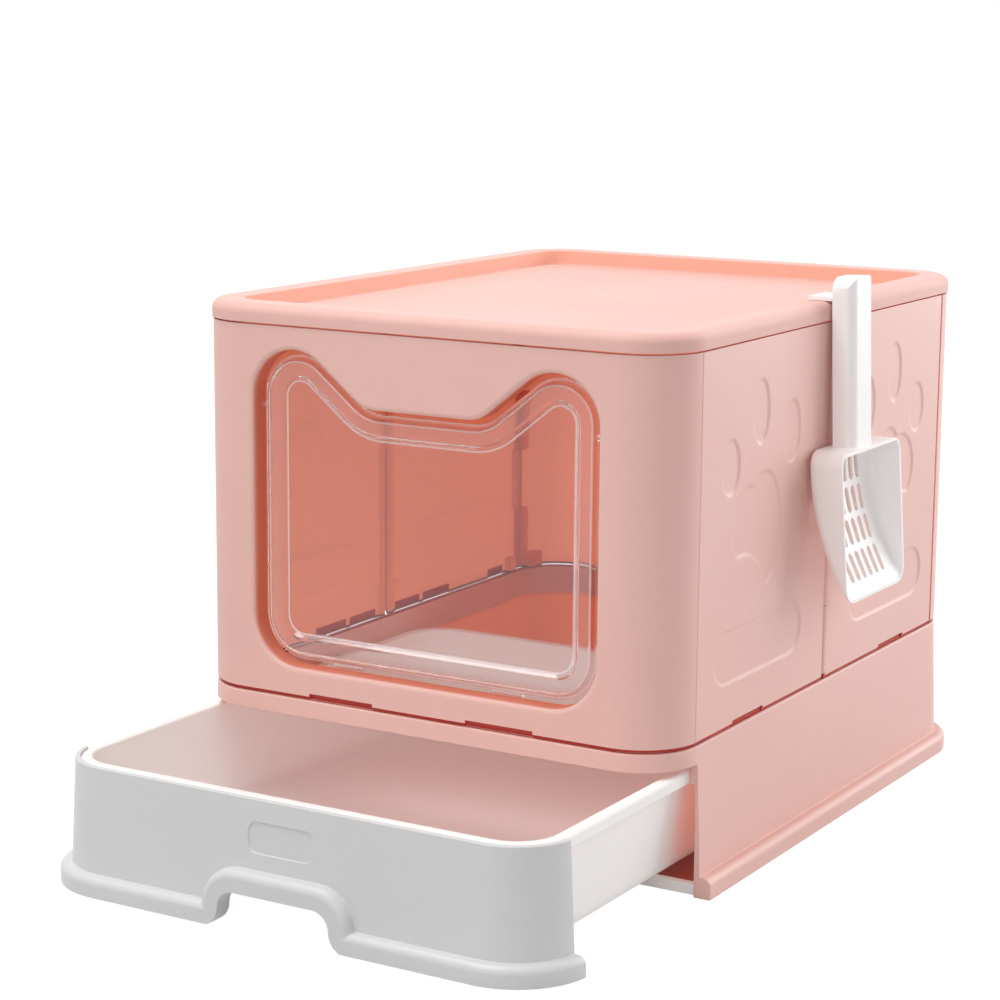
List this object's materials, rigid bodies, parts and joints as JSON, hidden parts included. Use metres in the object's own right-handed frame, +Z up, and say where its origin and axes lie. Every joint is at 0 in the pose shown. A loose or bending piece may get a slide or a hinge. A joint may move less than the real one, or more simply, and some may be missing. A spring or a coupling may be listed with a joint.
{
  "type": "drawer litter box",
  "caption": "Folding enclosed litter box with a pull-out tray, a clear swing door in front, a recessed lift-off lid and a scoop hooked on its side.",
  "frame": {"origin": "middle of the base's flat underside, level with the surface it stands on", "axes": "+Z up; -Y towards the door and the drawer's front; +X towards the side that carries the scoop"},
  "size_m": [0.4242, 0.6732, 0.3935],
  "materials": {
    "pink_plastic": "satin moulded, soft edges",
    "white_plastic": "satin moulded",
    "clear_plastic": "clear polished sheet",
    "pin_steel": "drawn wire"
  },
  "bodies": {
    "base": {"base_shell": "pink_plastic", "base_floor": "pink_plastic", "base_sill": "white_plastic"},
    "drawer": {"drawer_tray": "white_plastic", "drawer_front": "white_plastic"},
    "rear": {"rear_panel": "pink_plastic", "corner_clips": "pink_plastic", "right_rear_pin": "pin_steel", "left_rear_pin": "pin_steel"},
    "right_rear": {"right_rear_side": "pink_plastic", "right_mid_pin": "pin_steel"},
    "right_front": {"right_front_side": "pink_plastic"},
    "left_rear": {"left_rear_side": "pink_plastic", "left_mid_pin": "pin_steel"},
    "left_front": {"left_front_side": "pink_plastic"},
    "front": {"front_panel": "pink_plastic", "right_front_pin": "pin_steel", "left_front_pin": "pin_steel"},
    "door": {"door_flap": "clear_plastic", "door_pivots": "clear_plastic"},
    "lid": {"lid": "pink_plastic"},
    "scoop": {"scoop": "white_plastic"}
  },
  "joints": [
    {"name": "drawer_slide", "type": "slide", "parent": "base", "child": "drawer", "axis": [0, -1, 0], "range_m": [-0.158, 0.3]},
    {"name": "enclosure_lift", "type": "slide", "parent": "base", "child": "rear", "axis": [0, 0, 1], "range_m": [0, 0.15]},
    {"name": "right_rear_fold", "type": "hinge", "parent": "rear", "child": "right_rear", "pos_m": [0.181, 0.195, 0.23], "axis": [0, 0, -1], "range_deg": [0, 64]},
    {"name": "right_mid_fold", "type": "hinge", "parent": "right_rear", "child": "right_front", "pos_m": [0.187, -0.0025, 0.23], "axis": [0, 0, -1], "range_deg": [-128, 0]},
    {"name": "right_front_fold", "type": "hinge", "parent": "right_front", "child": "front", "pos_m": [0.181, -0.2, 0.23], "axis": [0, 0, -1], "range_deg": [0, 64]},
    {"name": "left_rear_fold", "type": "hinge", "parent": "rear", "child": "left_rear", "pos_m": [-0.181, 0.195, 0.23], "axis": [0, 0, 1], "range_deg": [0, 64]},
    {"name": "left_mid_fold", "type": "hinge", "parent": "left_rear", "child": "left_front", "pos_m": [-0.187, -0.0025, 0.23], "axis": [0, 0, 1], "range_deg": [-128, 0]},
    {"name": "door_swing", "type": "hinge", "parent": "front", "child": "door", "pos_m": [0, -0.2346, 0.3055], "axis": [-1, 0, 0], "range_deg": [-75, 75]},
    {"name": "lid_lift", "type": "slide", "parent": "rear", "child": "lid", "axis": [0, 0, 1], "range_m": [0, 0.12]},
    {"name": "scoop_lift", "type": "slide", "parent": "lid", "child": "scoop", "axis": [0, 0, 1], "range_m": [0, 0.06]}
  ],
  "couplings": [
    {"joint": "right_mid_fold", "follows": "right_rear_fold", "ratio": -2},
    {"joint": "right_front_fold", "follows": "right_rear_fold", "ratio": 1},
    {"joint": "left_rear_fold", "follows": "right_rear_fold", "ratio": 1},
    {"joint": "left_mid_fold", "follows": "right_rear_fold", "ratio": -2}
  ]
}
